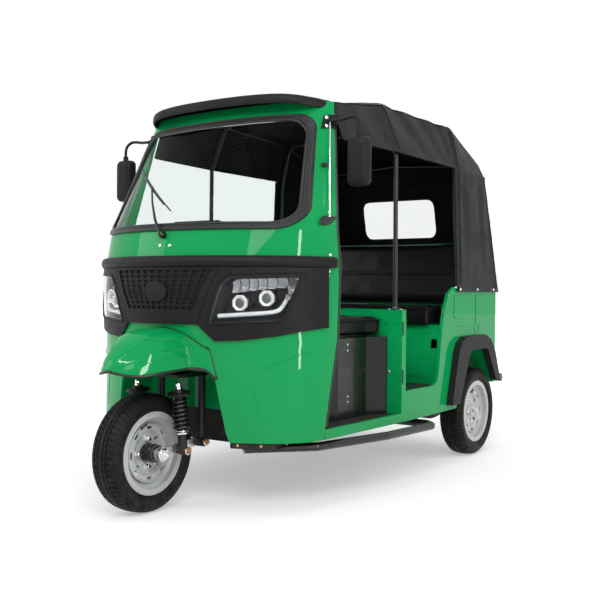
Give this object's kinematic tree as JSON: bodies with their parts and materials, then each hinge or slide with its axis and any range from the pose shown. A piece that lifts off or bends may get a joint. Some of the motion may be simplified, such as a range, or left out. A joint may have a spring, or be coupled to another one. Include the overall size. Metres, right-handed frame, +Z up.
{
  "type": "auto rickshaw",
  "caption": "Three-wheeled passenger vehicle with a rounded green cab, open sides, a dark soft canopy, bench seats and a single steered front wheel.",
  "frame": {"origin": "on the ground, under the middle of the vehicle's bounding box", "axes": "+X to the vehicle's left, -Y forwards, +Z up"},
  "size_m": [1.486, 2.6489, 1.8758],
  "materials": {
    "green_paint": "glossy enamel",
    "black_plastic": "fine grained moulding",
    "black_paint": "satin enamel",
    "tyre_rubber": "treaded, road worn",
    "gasket_rubber": "smooth extrusion",
    "silver_steel": "silver wheel paint",
    "zinc_steel": "zinc plated",
    "cast_hub": "as cast, painted",
    "tinted_glass": "tinted",
    "lamp_clear": "clear moulding",
    "lamp_bowl": "reflector",
    "lamp_red": "red moulding",
    "canopy_vinyl": "coated cloth",
    "clear_vinyl": "clear soft sheet",
    "seat_vinyl": "grained vinyl",
    "floor_rubber": "ribbed mat"
  },
  "bodies": {
    "chassis": {"cab_shell": "green_paint", "front_apron": "green_paint", "wheel_well": "green_paint", "fascia_left": "black_plastic", "fascia_right": "black_plastic", "fascia_centre": "black_plastic", "bumper_strip": "black_plastic", "headlamp_left": "lamp_bowl", "headlamp_right": "lamp_bowl", "lamp_lens_left": "lamp_clear", "lamp_lens_right": "lamp_clear", "windscreen": "tinted_glass", "windscreen_gasket": "gasket_rubber", "mudguard": "green_paint", "sun_visor": "black_plastic", "wiper": "black_paint", "dashboard": "black_plastic", "mirrors": "black_plastic", "aerial": "zinc_steel", "floor_pan": "black_paint", "door_sills": "green_paint", "floor_mat": "floor_rubber", "rear_floor": "floor_rubber", "chassis_frame": "black_paint", "power_unit": "cast_hub", "rear_axle": "black_paint", "leaf_springs": "black_paint", "step_bars": "black_paint", "bulkhead": "green_paint", "side_panel_left": "green_paint", "side_panel_right": "green_paint", "wheelhouses": "green_paint", "wheel_flares": "black_plastic", "rear_panel": "green_paint", "tail_lamps": "lamp_red", "rear_bumper": "black_paint", "driver_seat_box": "black_plastic", "driver_seat": "seat_vinyl", "passenger_seat_base": "green_paint", "passenger_seat": "seat_vinyl", "passenger_backrest": "seat_vinyl", "canopy": "canopy_vinyl", "canopy_frame": "black_paint", "rear_window": "clear_vinyl"},
    "steering": {"fork": "black_paint", "link_arms": "zinc_steel", "front_shocks": "black_paint", "handlebar": "black_paint"},
    "front_wheel": {"front_tyre": "tyre_rubber", "front_rim": "silver_steel", "front_hub": "cast_hub"},
    "rear_wheel_left": {"rear_tyre_left": "tyre_rubber", "rear_rim_left": "silver_steel"},
    "rear_wheel_right": {"rear_tyre_right": "tyre_rubber", "rear_rim_right": "silver_steel"},
    "rear_hatch": {"rear_hatch": "green_paint"}
  },
  "joints": [
    {"name": "steering_turn", "type": "hinge", "parent": "chassis", "child": "steering", "pos_m": [0, -0.8775, 0.57], "axis": [0, 0.342, 0.9397], "range_deg": [-38, 38]},
    {"name": "front_wheel_spin", "type": "hinge", "parent": "steering", "child": "front_wheel", "pos_m": [0, -1.0775, 0.247], "axis": [1, 0, 0], "continuous": true},
    {"name": "rear_wheel_left_spin", "type": "hinge", "parent": "chassis", "child": "rear_wheel_left", "pos_m": [0.542, 0.9765, 0.247], "axis": [1, 0, 0], "continuous": true},
    {"name": "rear_wheel_right_spin", "type": "hinge", "parent": "chassis", "child": "rear_wheel_right", "pos_m": [-0.542, 0.9765, 0.247], "axis": [1, 0, 0], "continuous": true},
    {"name": "rear_hatch_lift", "type": "hinge", "parent": "chassis", "child": "rear_hatch", "pos_m": [0, 1.2485, 0.888], "axis": [1, 0, 0], "range_deg": [0, 80]}
  ]
}
